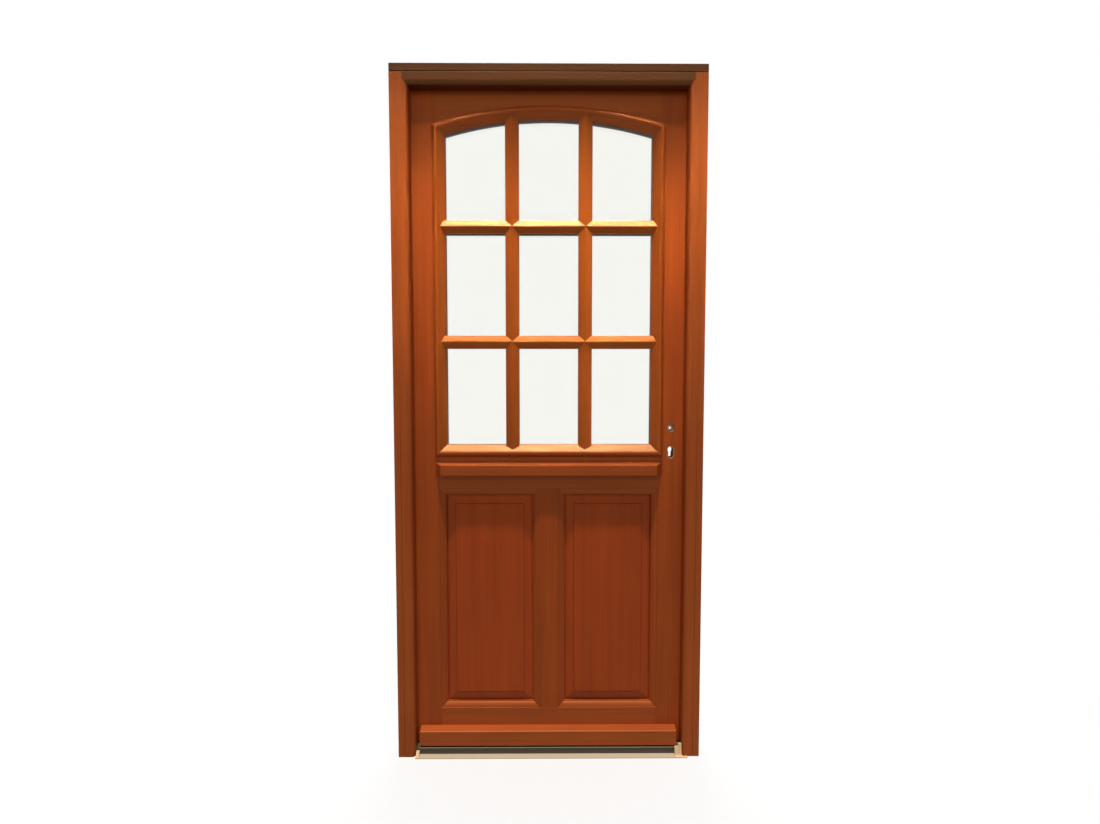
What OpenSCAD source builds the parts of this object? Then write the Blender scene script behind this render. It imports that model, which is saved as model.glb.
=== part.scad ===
// Half-glazed panelled front door in its frame, hinged on the left seen from outside and opening inwards.
// X runs along the wall, Y from outside to inside, Z up from the floor under the threshold.

/* [Frame] */
// Overall width of the frame
frame_width = 980; // [900:1:1080]
// Overall height of the frame with the strip on its head
frame_height = 2190; // [2100:1:2300]
// Depth of the frame from outside to inside
frame_depth = 90; // [80:1:110]
// Width of a jamb's face from its outer edge to the stop
jamb_face = 56; // [50:1:70]
// Height of the head's face from the stop to the strip
head_face = 37; // [32:1:60]
// Height of the strip that lies on the head
head_strip_height = 25; // [15:1:40]
// Height of the shadow line between head and strip
shadow_line = 3; // [2:0.5:5]
// How far the stop laps the rebate that takes the leaf
stop_lap = 14; // [12:1:18]
// Radius of the rounded inner edge of the frame's face
edge_radius = 15; // [8:1:20]
// Distance of the fine line on a jamb's face from its outer edge
face_line_inset = 22; // [15:1:30]
// Room for the seal between the leaf and the stop
seal_gap = 3; // [2:0.5:5]

/* [Threshold] */
// Height of the threshold's top
threshold_height = 25; // [18:1:30]
// How far the sloping apron stands out in front of the frame
apron_reach = 12; // [8:1:30]
// Distance of the threshold's riser behind the frame's face
riser_setback = 15; // [10:1:20]
// Wall of the hollow threshold section
threshold_wall = 2.5; // [2:0.5:3]
// Width of the end cap on the hinge side
hinge_cap_width = 10; // [6:1:14]
// Width of the end cap on the lock side
lock_cap_width = 22; // [14:1:26]

/* [Leaf] */
// Thickness of the leaf
leaf_thickness = 46; // [42:1:56]
// Gap between the leaf's edges and the rebate
leaf_gap = 3; // [2.5:0.5:4]
// Gap between the leaf and the threshold's top
floor_gap = 6; // [5:0.5:10]
// Width of a stile
stile_width = 90; // [85:1:110]
// Height of the bottom rail
bottom_rail_height = 113.5; // [100:0.5:160]
// Height of the panel openings
panel_height = 731.5; // [600:0.5:800]
// Height of the lock rail
lock_rail_height = 116; // [100:1:130]
// Height of the top rail in the middle of its arch
top_rail_crown = 69; // [50:1:100]
// Rise of the arch over the glazing
arch_rise = 54.5; // [40:0.5:80]
// Width of the muntin between the panels
muntin_width = 62; // [50:1:90]
// Length of the tenons in the stiles
tenon_length = 50; // [30:1:55]
// Thickness of the tenons
tenon_thickness = 14; // [10:1:16]

/* [Panels] */
// Width of the moulded edge round a panel opening
sticking_width = 20; // [16:1:26]
// Depth of the moulded edge
sticking_depth = 10; // [7:0.5:12]
// Width of the bevel round a panel's field
panel_bevel = 32; // [20:1:45]
// Depth of the field behind the face of the leaf
field_recess = 8; // [5:0.5:10]
// Height of the small step from the bevel to the field
field_step = 2; // [1:0.5:3]
// Width of the groove that holds a panel
groove_width = 10; // [8:1:12]
// Depth of the groove that holds a panel
groove_depth = 12; // [8:1:14]

/* [Glazing] */
// Width of the raised moulding round the glass
moulding_width = 40; // [34:1:46]
// Lap of the raised moulding on the leaf's face
moulding_lap = 13; // [6:1:16]
// Height of the raised moulding above the leaf's face
moulding_rise = 14; // [13.5:0.5:18]
// Radius of the moulding's rounded ridge
ridge_radius = 9; // [6:0.5:9.5]
// Distance of the moulding's ridge from its outer edge
ridge_inset = 13.5; // [10:0.5:16]
// Depth of the glass behind the leaf's face
glass_setback = 9; // [6:0.5:12]
// Thickness of a pane
pane_thickness = 4; // [3:0.5:6]
// Width of the space between the panes
glass_cavity = 16; // [12:1:16]
// Gap between the glass edge and the timber
glass_clearance = 4; // [3:0.5:6]
// Width of the upright glazing bars
upright_bar_width = 43; // [30:1:50]
// Width of the cross bars
cross_bar_width = 40; // [30:1:50]
// Height of a bar's ridge above the outer pane
bar_rise = 16; // [13:0.5:17]
// Height of a bar's upright sides above the outer pane
bar_side = 7; // [4:0.5:9]
// Height of a bar's ridge above the inner pane
inside_bar_rise = 11; // [8:0.5:12]
// How far the lower cross bar lies below an even split of the daylight
lower_bar_drop = 5; // [0:1:20]
// How far the upper cross bar lies above an even split of the daylight
upper_bar_lift = 2; // [0:1:20]

/* [Water bars] */
// Distance of the apron moulding below the raised moulding
apron_drop = 14; // [8:1:24]
// Height of the apron moulding
apron_height = 44; // [30:1:50]
// How far the apron moulding stands out from the leaf
apron_depth = 25; // [15:1:35]
// Fall of the apron moulding's top
apron_fall = 12; // [5:1:18]
// How far the apron moulding laps each stile
apron_overhang = 12; // [0:1:30]
// Length of the bevel on each end of the apron moulding
apron_hip = 20; // [10:1:30]
// Height of the weatherboard
board_height = 55; // [45:1:80]
// How far the weatherboard stands out from the leaf
board_depth = 32; // [20:1:35]
// Fall of the weatherboard's top
board_fall = 6; // [3:1:12]
// Height of the weatherboard above the leaf's lower edge
board_lift = 0; // [0:1:6]
// Gap between the weatherboard and the hinge side stop
board_hinge_margin = 11; // [8:1:30]
// Gap between the weatherboard and the lock side stop
board_lock_margin = 16; // [13:1:30]

/* [Lock] */
// Height of the spindle hole above the floor
spindle_height = 1073; // [1040:1:1100]
// Distance of the spindle from the leaf's lock edge
backset = 50; // [45:1:52]
// Distance from the spindle down to the cylinder hole
cylinder_pitch = 70; // [68:1:72]
// Radius of the hole round the spindle
spindle_hole_radius = 11.5; // [10.5:0.5:12]
// Side of the square hole in the follower
spindle_square = 8; // [7:0.5:9]
// Throw of the sprung latch
latch_throw = 12; // [10:0.5:12]
// Throw of the deadbolt
deadbolt_throw = 20; // [14:1:20]
// Depth of the lock case behind its faceplate
lock_case_depth = 72; // [70:1:74]
// Thickness of the lock case
lock_case_thickness = 15; // [14:0.5:17]

/* [Hinges] */
// Height of a hinge
hinge_height = 100; // [80:1:140]
// Radius of a hinge knuckle
knuckle_radius = 7; // [6:0.5:9]
// Radius of a hinge pin
pin_radius = 4; // [3:0.5:4.5]
// Width of a hinge plate
plate_width = 30; // [24:1:34]
// Thickness of a hinge plate
plate_thickness = 3; // [2:0.5:3.5]
// Height of the bottom hinge's middle above the leaf's lower edge
bottom_hinge_rise = 274; // [150:1:350]
// Distance of the top hinge's middle below the leaf's upper edge
top_hinge_drop = 239; // [150:1:350]

/* [Fixing] */
// Radius of the holes for the fixing lugs
fixing_radius = 4; // [3:0.5:6]
// Depth of the holes for the fixing lugs
fixing_depth = 25; // [15:1:30]
// Height of the lower fixing holes
fixing_height = 500; // [400:1:600]
// Distance between the lower and the upper fixing holes
fixing_pitch = 1200; // [1100:1:1300]

/* [Hidden] */
$fn = 48;
arc_steps = 720;
running_clearance = 0.05;
moving_clearance = 0.3;
past = 1;

half_width = frame_width / 2;
front_y = -frame_depth / 2;
back_y = frame_depth / 2;
stop_x = half_width - jamb_face;
rebate_x = stop_x + stop_lap;
leaf_half = rebate_x - leaf_gap;
head_top = frame_height - head_strip_height;
soffit_z = head_top - head_face;
rebate_z = soffit_z + stop_lap;
leaf_top = rebate_z - leaf_gap;
leaf_bottom = threshold_height + floor_gap;
leaf_in_y = back_y;
leaf_out_y = back_y - leaf_thickness;
leaf_mid_y = (leaf_in_y + leaf_out_y) / 2;
shoulder_y = leaf_out_y - seal_gap;
reach = frame_depth * 2;

// The head is mitred to the jambs over their moulded edge and butts against them above it
mitre_run = max(edge_radius, stop_lap) + 1;
face_line_width = 2;
face_line_depth = 1.5;
shadow_line_depth = 5;

seal_stem = 4;
seal_stem_depth = 5;
seal_u = (stop_lap - leaf_gap) / 2;
seal_bulb = seal_gap - moving_clearance;
sill_seal_base = 12;
sill_seal_bulb = 3;

nose_height = 2;
riser_y = front_y + riser_setback;
nose_y = front_y - apron_reach;
riser_foot_z = threshold_wall;
riser_lip = 2;
sill_back_fall = 6;
sill_back_run = 8;
hinge_cap_height = 15;
lock_cap_height = threshold_height + floor_gap / 2;
lock_ear_rise = 10;
lock_ear_height = lock_cap_height + lock_ear_rise;
lock_ear_gap = 6;
cap_foot_height = 5;
cap_slope_reach = 2;
cap_foot_reach = 17;

stile_x = leaf_half - stile_width;
muntin_half = muntin_width / 2;
panel_bottom = leaf_bottom + bottom_rail_height;
panel_top = panel_bottom + panel_height;
panel_mid_z = (panel_bottom + panel_top) / 2;
panel_width = stile_x - muntin_half;
panel_mid_x = (stile_x + muntin_half) / 2;
sill_z = panel_top + lock_rail_height;
crown_z = leaf_top - top_rail_crown;
arch_radius = (stile_x * stile_x + arch_rise * arch_rise) / (2 * arch_rise);
arch_z = crown_z - arch_radius;
tenon_shoulder = 15;
lock_tenon_shoulder = 10;
muntin_tenon_length = 30;
muntin_tenon_inset = 10;

sticking_step = 2;
sticking_flat = 3;
panel_play = 3;
tongue_reach = groove_depth - panel_play;
quirk_width = 2;
quirk_depth = 1.5;

day_x = stile_x + moulding_lap - moulding_width;
day_bottom = sill_z - moulding_lap + moulding_width;
moulding_step = 3;
ridge_overlap = 0.97;
bead_width = stile_x - day_x;
bead_flat = 3;
glass_out_y = leaf_out_y + glass_setback;
glass_in_y = glass_out_y + 2 * pane_thickness + glass_cavity;
spacer_inset = 3;
spacer_width = 7;
block_length = 60;
block_inset = 110;
bar_edge = 3;
bead_edge = bar_edge;
moulding_edge = bar_edge;
bar_ridge_radius = 4;
bar_seat = 20;
bar_flat = 10;
pane_width = (2 * day_x - 2 * upright_bar_width) / 3;
upright_bar_x = (pane_width + upright_bar_width) / 2;
upright_bar_top = arch_z + sqrt(pow(arch_radius - bead_width, 2) - upright_bar_x * upright_bar_x) + bar_seat;
day_top = crown_z + moulding_lap - moulding_width;
pane_height = (day_top - day_bottom - 2 * cross_bar_width) / 3;
lower_bar_z = day_bottom + pane_height + cross_bar_width / 2 - lower_bar_drop;
upper_bar_z = day_top - pane_height - cross_bar_width / 2 + upper_bar_lift;

apron_top = sill_z - moulding_lap - apron_drop;
apron_step = 2;
apron_flat = 4;
board_bottom = leaf_bottom + board_lift;
board_nose = 4;
drip_width = 5;
drip_depth = 4;
drip_inset = 5;

spindle_x = leaf_half - backset;
cylinder_z = spindle_height - cylinder_pitch;
keyhole_radius = 10;
keyhole_drop = 18;
plug_radius = 8.5;
stem_radius = 5;
profile_height = 33;
faceplate_thickness = 3;
faceplate_width = 22;
faceplate_below = 86;
faceplate_above = 84;
faceplate_screw_inset = 10;
case_x = leaf_half - faceplate_thickness - lock_case_depth;
case_below = 41;
case_above = 39;
case_bottom = cylinder_z - case_below;
case_top = spindle_height + case_above;
case_tenon_gap = 12;
case_wall = 1.5;
case_y = [leaf_mid_y - lock_case_thickness / 2, leaf_mid_y + lock_case_thickness / 2];
bolt_half = lock_case_thickness / 2 - case_wall - 0.5;
follower_radius = 10;
follower_arm = 22;
follower_arm_half = 4;
follower_arm_thickness = 6;
latch_rise = 22;
latch_z = spindle_height + latch_rise;
latch_height = 18;
latch_head = 15;
latch_tail_thickness = 2;
latch_hook_gap = 6.2;
latch_hook = 3;
latch_hook_drop = 12;
deadbolt_drop = 38;
deadbolt_z = spindle_height - deadbolt_drop;
deadbolt_height = 20;
deadbolt_length = 60;
strike_width = 24;
strike_thickness = 3;
strike_margin = 18;
strike_clearance = 2;
strike_pocket = 3;

hinge_axis_x = -(leaf_half + rebate_x) / 2;
hinge_axis_y = back_y + knuckle_radius + 0.5;
washer_thickness = 2;
washer_half = washer_thickness / 2;
knuckle_cap = 5;
pin_cap = 2;
bottom_hinge_z = leaf_bottom + bottom_hinge_rise;
top_hinge_z = leaf_top - top_hinge_drop;
middle_hinge_z = (bottom_hinge_z + top_hinge_z) / 2;
hinge_levels = [bottom_hinge_z, middle_hinge_z, top_hinge_z];
hinge_screw_pitch = 35;
screw_head_radius = 4;
screw_radius = 2;
screw_length = 25;
fixing_y = leaf_mid_y;

timber = [0.56, 0.24, 0.10];
panel_timber = [0.54, 0.20, 0.09];
varnished_bar = [0.68, 0.31, 0.11];
clear_glass = [0.80, 0.84, 0.80, 0.35];
spacer_metal = [0.62, 0.63, 0.64];
sill_metal = [0.66, 0.64, 0.60];
zinc_steel = [0.64, 0.64, 0.63];
bright_steel = [0.74, 0.74, 0.73];
brass = [0.78, 0.62, 0.30];
black_rubber = [0.07, 0.07, 0.07];
cream_plastic = [0.90, 0.80, 0.63];
block_plastic = [0.24, 0.30, 0.44];

// Height of an arc of radius r over the arch's centre at distance x from the middle
function arch_at(x, r) = arch_z + sqrt(r * r - x * x);

// Point where a line from an outside point touches a circle, on the side given by turn
function touch_point(centre, radius, from, turn) =
    let (
        line = from - centre,
        angle = atan2(line[1], line[0]) + turn * acos(radius / norm(line))
    )
    centre + radius * [cos(angle), sin(angle)];

// Shared shapes

module box(low, high) {
    translate(low)
        cube(high - low);
}

// Extrudes a section drawn in Y and Z along X
module along_x(length) {
    rotate([90, 0, 90])
        linear_extrude(length, center = true)
            children();
}

// Extrudes an outline drawn in X and Z from y0 to y1
module along_y(y0, y1) {
    translate([0, y1, 0])
        rotate([90, 0, 0])
            linear_extrude(y1 - y0)
                children();
}

// Extrudes a section drawn in X and Y from z0 to z1
module along_z(z0, z1) {
    translate([0, 0, z0])
        linear_extrude(z1 - z0)
            children();
}

module both_sides() {
    children();
    mirror([1, 0, 0])
        children();
}

// Turns a run that faces up so that it faces right, down or left
module quarter_turn(quarters) {
    rotate([0, 90 * quarters, 0])
        children();
}

// Straight moulded run with mitred ends, its outer edge at Z = 0 and its inner edge at Z = width
module mitred_run(length, width) {
    half = length / 2;
    intersection() {
        along_x(length)
            children();
        along_y(-reach, reach)
            polygon([[-half, 0], [half, 0], [half - width, width], [width - half, width]]);
    }
}

// Curved moulded run over the glazing, its outer edge at the given radius
module arch_run(outer_radius, half_angle) {
    translate([0, 0, arch_z])
        rotate([90, 0, 0])
            rotate([0, 0, 90 - half_angle])
                rotate_extrude(angle = 2 * half_angle, $fn = arc_steps)
                    translate([outer_radius, 0])
                        mirror([1, 0])
                            rotate(-90)
                                children();
}

// Countersunk wood screw with its head's face at the origin, pointing along X
module wood_screw(head_depth) {
    rotate([0, 90, 0]) {
        cylinder(h = head_depth, r1 = screw_head_radius, r2 = screw_radius);
        translate([0, 0, head_depth])
            cylinder(h = screw_length - screw_head_radius, r = screw_radius);
        translate([0, 0, head_depth + screw_length - screw_head_radius])
            cylinder(h = screw_head_radius, r1 = screw_radius, r2 = screw_radius / 4);
    }
}

// Frame

// Section of jamb and head, drawn from the stop's edge outwards and in Y
module frame_section(face) {
    difference() {
        union() {
            translate([0, front_y])
                square([face, shoulder_y - front_y]);
            translate([stop_lap, front_y])
                square([face - stop_lap, frame_depth]);
        }
        difference() {
            translate([-past, front_y - past])
                square([edge_radius + past, edge_radius + past]);
            translate([edge_radius, front_y + edge_radius])
                circle(edge_radius);
        }
        translate([seal_u - seal_stem / 2, shoulder_y - seal_stem_depth])
            square([seal_stem, seal_stem_depth + past]);
    }
}

// Part of the frame's elevation that belongs to the head
module head_region(above) {
    outer = stop_x + mitre_run;
    polygon([
        [-stop_x, soffit_z], [-outer, soffit_z + mitre_run], [-outer, head_top + above],
        [outer, head_top + above], [outer, soffit_z + mitre_run], [stop_x, soffit_z]
    ]);
}

// Jamb on the right, with its face line and the holes for the fixing lugs
module jamb_blank() {
    difference() {
        along_z(0, head_top)
            translate([stop_x, 0])
                frame_section(jamb_face);
        along_y(front_y - past, back_y + past)
            head_region(past);
        box([half_width - face_line_inset, front_y - past, -past],
            [half_width - face_line_inset + face_line_width, front_y + face_line_depth, head_top + past]);
        for (level = [0, 1])
            translate([half_width - fixing_depth, fixing_y, fixing_height + level * fixing_pitch])
                rotate([0, 90, 0])
                    cylinder(h = fixing_depth + past, r = fixing_radius);
    }
}

module hinge_jamb() {
    color(timber)
        difference() {
            mirror([1, 0, 0])
                jamb_blank();
            for (level = hinge_levels)
                box([-rebate_x - plate_thickness, back_y - plate_width, level - hinge_height / 2],
                    [-rebate_x + past, back_y + past, level + hinge_height / 2]);
            hinge_frame_screw_set();
        }
}

module lock_jamb() {
    color(timber)
        difference() {
            jamb_blank();
            box([rebate_x - past, leaf_mid_y - strike_width / 2, strike_bottom()],
                [rebate_x + strike_thickness, leaf_mid_y + strike_width / 2, strike_top()]);
            strike_holes(rebate_x);
            strike_screw_set();
        }
}

module frame_head() {
    color(timber)
        intersection() {
            along_x(frame_width)
                translate([0, soffit_z])
                    mirror([1, -1])
                        frame_section(head_face);
            along_y(front_y - past, back_y + past)
                head_region(0);
        }
}

module head_strip() {
    color(timber)
        difference() {
            box([-half_width, front_y, head_top], [half_width, back_y, frame_height]);
            box([-half_width - past, front_y - past, head_top - past],
                [half_width + past, front_y + shadow_line_depth, head_top + shadow_line]);
        }
}

// Rubber seal section, drawn from the stop's edge outwards and in Y
module seal_section() {
    translate([seal_u - seal_stem / 2, shoulder_y - seal_stem_depth])
        square([seal_stem, seal_stem_depth]);
    intersection() {
        translate([seal_u, shoulder_y])
            circle(seal_bulb);
        translate([seal_u - seal_bulb, shoulder_y])
            square([2 * seal_bulb, seal_bulb]);
    }
}

module side_seal() {
    along_z(threshold_height, soffit_z + seal_u - seal_bulb)
        translate([stop_x, 0])
            seal_section();
}

module hinge_side_seal() {
    color(black_rubber)
        mirror([1, 0, 0])
            side_seal();
}

module lock_side_seal() {
    color(black_rubber)
        side_seal();
}

module head_seal() {
    color(black_rubber)
        along_x(2 * (stop_x + seal_u - seal_bulb))
            translate([0, soffit_z])
                mirror([1, -1])
                    seal_section();
}

// Threshold

// Hollow section with a sloping apron in front and a riser under the weatherboard
module threshold_section() {
    chamber_z = threshold_height - 2 * threshold_wall;
    web_y = shoulder_y + past;
    difference() {
        polygon([
            [nose_y, 0], [back_y, 0], [back_y, threshold_height - sill_back_fall],
            [back_y - sill_back_run, threshold_height], [riser_y - riser_lip, threshold_height],
            [riser_y - riser_lip, threshold_height - riser_lip], [riser_y, threshold_height - riser_lip],
            [riser_y, riser_foot_z], [nose_y, nose_height]
        ]);
        translate([riser_y + threshold_wall, threshold_wall])
            square([web_y - riser_y - 2 * threshold_wall, chamber_z]);
        translate([web_y, threshold_wall])
            square([back_y - sill_back_run - threshold_wall - web_y, chamber_z]);
    }
}

// Ground that the threshold covers between the jambs and the end caps
module threshold_plan() {
    apron_left = hinge_cap_width - stop_x;
    apron_right = stop_x - lock_cap_width;
    translate([apron_left, nose_y])
        square([apron_right - apron_left, riser_y - nose_y]);
    translate([-stop_x, riser_y])
        square([2 * stop_x, shoulder_y - riser_y]);
    translate([-rebate_x, shoulder_y])
        square([2 * rebate_x, back_y - shoulder_y]);
}

module threshold() {
    color(sill_metal)
        intersection() {
            along_x(2 * rebate_x)
                threshold_section();
            along_z(-past, threshold_height + past)
                threshold_plan();
        }
}

// Cap that closes the apron's end from one x to the other
module end_cap(from_x, to_x, height) {
    translate([from_x, 0, 0])
        rotate([90, 0, 90])
            linear_extrude(to_x - from_x)
                polygon([
                    [nose_y, 0], [riser_y, 0], [riser_y, height],
                    [front_y + edge_radius / 2, height], [front_y - cap_slope_reach, cap_foot_height],
                    [nose_y, nose_height + past]
                ]);
}

// Cream caps at the apron's ends: a low one, and a high one with an ear and a foot before the jamb
module threshold_end_caps() {
    ear_x = stop_x - min(lock_cap_width, board_lock_margin - lock_ear_gap);
    color(cream_plastic) {
        end_cap(-stop_x, hinge_cap_width - stop_x, hinge_cap_height);
        end_cap(stop_x - lock_cap_width, stop_x, lock_cap_height);
        end_cap(ear_x, stop_x, lock_ear_height);
        box([stop_x - past, nose_y, 0], [stop_x + cap_foot_reach, front_y, nose_height]);
    }
}

module threshold_seal() {
    color(black_rubber)
        along_x(2 * rebate_x)
            translate([leaf_mid_y, threshold_height]) {
                base_z = floor_gap - moving_clearance - sill_seal_bulb;
                translate([-sill_seal_base / 2, 0])
                    square([sill_seal_base, base_z]);
                intersection() {
                    translate([0, base_z])
                        circle(sill_seal_bulb);
                    translate([-sill_seal_bulb, base_z])
                        square([2 * sill_seal_bulb, sill_seal_bulb]);
                }
            }
}

// Strike

function strike_bottom() = deadbolt_z - deadbolt_height / 2 - strike_margin;
function strike_top() = latch_z + latch_height / 2 + strike_margin;

// Hole for a bolt with room on every side, from x outwards
module bolt_hole(x, z, height, depth) {
    room = bolt_half + strike_clearance;
    box([x - past, leaf_mid_y - room, z - height / 2 - strike_clearance],
        [x + depth, leaf_mid_y + room, z + height / 2 + strike_clearance]);
}

module strike_holes(x) {
    bolt_hole(x, latch_z, latch_height, latch_throw - leaf_gap + strike_pocket);
    bolt_hole(x, deadbolt_z, deadbolt_height, deadbolt_throw - leaf_gap + strike_pocket);
}

module strike_screw_set() {
    for (z = [strike_bottom() + strike_margin / 2, strike_top() - strike_margin / 2])
        translate([rebate_x, leaf_mid_y, z])
            wood_screw(strike_thickness);
}

module strike_plate() {
    color(zinc_steel)
        difference() {
            box([rebate_x, leaf_mid_y - strike_width / 2, strike_bottom()],
                [rebate_x + strike_thickness, leaf_mid_y + strike_width / 2, strike_top()]);
            strike_holes(rebate_x);
            strike_screw_set();
        }
}

module strike_screws() {
    color(bright_steel)
        strike_screw_set();
}

// Hinges, which lift off upwards

module hinge_frame_screw_set() {
    for (level = hinge_levels)
        for (step = [-1, 0, 1])
            translate([-rebate_x, back_y - plate_width / 2, level + step * hinge_screw_pitch])
                mirror([1, 0, 0])
                    wood_screw(plate_thickness);
}

module hinge_leaf_screw_set() {
    for (level = hinge_levels)
        for (step = [-1, 0, 1])
            translate([-leaf_half, back_y - plate_width / 2, level + step * hinge_screw_pitch])
                wood_screw(plate_thickness);
}

module knuckle(z0, z1) {
    translate([hinge_axis_x, hinge_axis_y, z0])
        cylinder(h = z1 - z0, r = knuckle_radius);
}

module hinge_frame_half(level) {
    low = level - hinge_height / 2;
    high = level + hinge_height / 2;
    color(zinc_steel)
        difference() {
            union() {
                box([-rebate_x - plate_thickness, back_y - plate_width, low], [-rebate_x, back_y, high]);
                box([-rebate_x - plate_thickness, back_y, low], [-rebate_x, hinge_axis_y, level - washer_half]);
                knuckle(low, level - washer_half);
            }
            translate([hinge_axis_x, hinge_axis_y, low + knuckle_cap])
                cylinder(h = hinge_height, r = pin_radius);
            hinge_frame_screw_set();
        }
}

module hinge_leaf_half(level) {
    low = level - hinge_height / 2;
    high = level + hinge_height / 2;
    knuckle_low = level + washer_half + moving_clearance;
    color(zinc_steel)
        difference() {
            union() {
                box([-leaf_half, back_y - plate_width, low], [-leaf_half + plate_thickness, back_y, high]);
                box([-leaf_half, back_y, knuckle_low], [-leaf_half + plate_thickness, hinge_axis_y, high]);
                knuckle(knuckle_low, high);
            }
            translate([hinge_axis_x, hinge_axis_y, level])
                cylinder(h = hinge_height / 2 - knuckle_cap, r = pin_radius + running_clearance);
            hinge_leaf_screw_set();
        }
}

module bottom_hinge_frame_half() {
    hinge_frame_half(bottom_hinge_z);
}

module middle_hinge_frame_half() {
    hinge_frame_half(middle_hinge_z);
}

module top_hinge_frame_half() {
    hinge_frame_half(top_hinge_z);
}

module bottom_hinge_leaf_half() {
    hinge_leaf_half(bottom_hinge_z);
}

module middle_hinge_leaf_half() {
    hinge_leaf_half(middle_hinge_z);
}

module top_hinge_leaf_half() {
    hinge_leaf_half(top_hinge_z);
}

module hinge_pins() {
    color(bright_steel)
        for (level = hinge_levels)
            translate([hinge_axis_x, hinge_axis_y, level - hinge_height / 2 + knuckle_cap])
                cylinder(h = hinge_height - 2 * knuckle_cap - pin_cap, r = pin_radius);
}

module hinge_washers() {
    color(brass)
        for (level = hinge_levels)
            translate([hinge_axis_x, hinge_axis_y, level - washer_half])
                difference() {
                    cylinder(h = washer_thickness, r = knuckle_radius);
                    translate([0, 0, -past])
                        cylinder(h = washer_thickness + 2 * past, r = pin_radius);
                }
}

module hinge_frame_screws() {
    color(bright_steel)
        hinge_frame_screw_set();
}

module hinge_leaf_screws() {
    color(bright_steel)
        hinge_leaf_screw_set();
}

// Leaf frame

// Moulded edge round the panels, drawn in Y and from the opening's edge inwards, with the panel groove
module sticking_section() {
    run = sticking_width - sticking_flat;
    drop = sticking_depth - sticking_step;
    round_radius = (run * run + drop * drop) / (2 * drop);
    difference() {
        for (face = [0, 1])
            translate([face * 2 * leaf_mid_y, 0])
                mirror([face, 0]) {
                    intersection() {
                        translate([leaf_out_y + sticking_step + round_radius, 0])
                            circle(round_radius, $fn = arc_steps / 4);
                        translate([leaf_out_y, 0])
                            square([leaf_thickness / 2, run]);
                    }
                    translate([leaf_out_y + sticking_depth, 0])
                        square([leaf_thickness / 2 - sticking_depth, sticking_width]);
                }
        translate([leaf_mid_y - groove_width / 2, sticking_width - groove_depth])
            square([groove_width, groove_depth + past]);
    }
}

// Run of the moulded edge, rooted in the stile, rail or muntin that it is worked on
module sticking_run(length) {
    root_half = length / 2 - past;
    mitred_run(length, sticking_width)
        sticking_section();
    box([-root_half, leaf_out_y + sticking_depth, -past], [root_half, leaf_in_y - sticking_depth, past]);
}

module rail_tenons(z0, z1) {
    both_sides()
        box([stile_x, leaf_mid_y - tenon_thickness / 2, z0],
            [stile_x + tenon_length, leaf_mid_y + tenon_thickness / 2, z1]);
}

module bottom_rail_tenons() {
    rail_tenons(leaf_bottom + tenon_shoulder, panel_bottom - tenon_shoulder);
}

// These tenons keep clear of the lock case, below it and above it
module lock_rail_tenons() {
    low = panel_top + lock_tenon_shoulder;
    high = sill_z - lock_tenon_shoulder;
    below = min(high, case_bottom - case_tenon_gap);
    above = max(low, case_top + case_tenon_gap);
    if (below > low)
        rail_tenons(low, below);
    if (above < high)
        rail_tenons(above, high);
}

module top_rail_tenons() {
    rail_tenons(crown_z - arch_rise + tenon_shoulder, leaf_top - tenon_shoulder);
}

module muntin_tenon() {
    half = muntin_half - muntin_tenon_inset;
    box([-half, leaf_mid_y - tenon_thickness / 2, panel_bottom - muntin_tenon_length],
        [half, leaf_mid_y + tenon_thickness / 2, panel_top + muntin_tenon_length]);
}

// Stile on the right, moulded along its panel opening and mortised for the rails
module stile_blank() {
    difference() {
        union() {
            box([stile_x, leaf_out_y, leaf_bottom], [leaf_half, leaf_in_y, leaf_top]);
            translate([stile_x, 0, panel_mid_z])
                quarter_turn(-1)
                    sticking_run(panel_height);
        }
        bottom_rail_tenons();
        lock_rail_tenons();
        top_rail_tenons();
    }
}

module hinge_stile() {
    color(timber)
        difference() {
            mirror([1, 0, 0])
                stile_blank();
            for (level = hinge_levels)
                box([-leaf_half - past, back_y - plate_width, level - hinge_height / 2],
                    [-leaf_half + plate_thickness, back_y + past, level + hinge_height / 2]);
            hinge_leaf_screw_set();
        }
}

// Outline of the cylinder hole cut in the timber
module keyhole_outline() {
    translate([spindle_x, cylinder_z]) {
        circle(keyhole_radius);
        translate([0, -keyhole_drop])
            circle(keyhole_radius);
        translate([-keyhole_radius, -keyhole_drop])
            square([2 * keyhole_radius, keyhole_drop]);
    }
}

// Lock stile with the lock's mortise, the faceplate's recess, the spindle hole and the keyhole
module lock_stile() {
    face_x = leaf_half - faceplate_thickness;
    color(timber)
        difference() {
            stile_blank();
            box([case_x, case_y[0], case_bottom], [leaf_half + past, case_y[1], case_top]);
            box([face_x, leaf_mid_y - faceplate_width / 2, cylinder_z - faceplate_below],
                [leaf_half + past, leaf_mid_y + faceplate_width / 2, spindle_height + faceplate_above]);
            translate([spindle_x, leaf_out_y - past, spindle_height])
                rotate([-90, 0, 0])
                    cylinder(h = leaf_thickness + 2 * past, r = spindle_hole_radius);
            along_y(leaf_out_y - past, leaf_in_y + past)
                keyhole_outline();
            faceplate_screw_set();
        }
}

module top_rail() {
    color(timber) {
        along_y(leaf_out_y, leaf_in_y)
            difference() {
                low = crown_z - arch_rise - past;
                translate([-stile_x, low])
                    square([2 * stile_x, leaf_top - low]);
                translate([0, arch_z])
                    circle(arch_radius, $fn = arc_steps);
            }
        top_rail_tenons();
    }
}

module lock_rail() {
    color(timber)
        difference() {
            union() {
                box([-stile_x, leaf_out_y, panel_top], [stile_x, leaf_in_y, sill_z]);
                both_sides()
                    translate([panel_mid_x, 0, panel_top])
                        quarter_turn(2)
                            sticking_run(panel_width);
                lock_rail_tenons();
            }
            muntin_tenon();
        }
}

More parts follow.
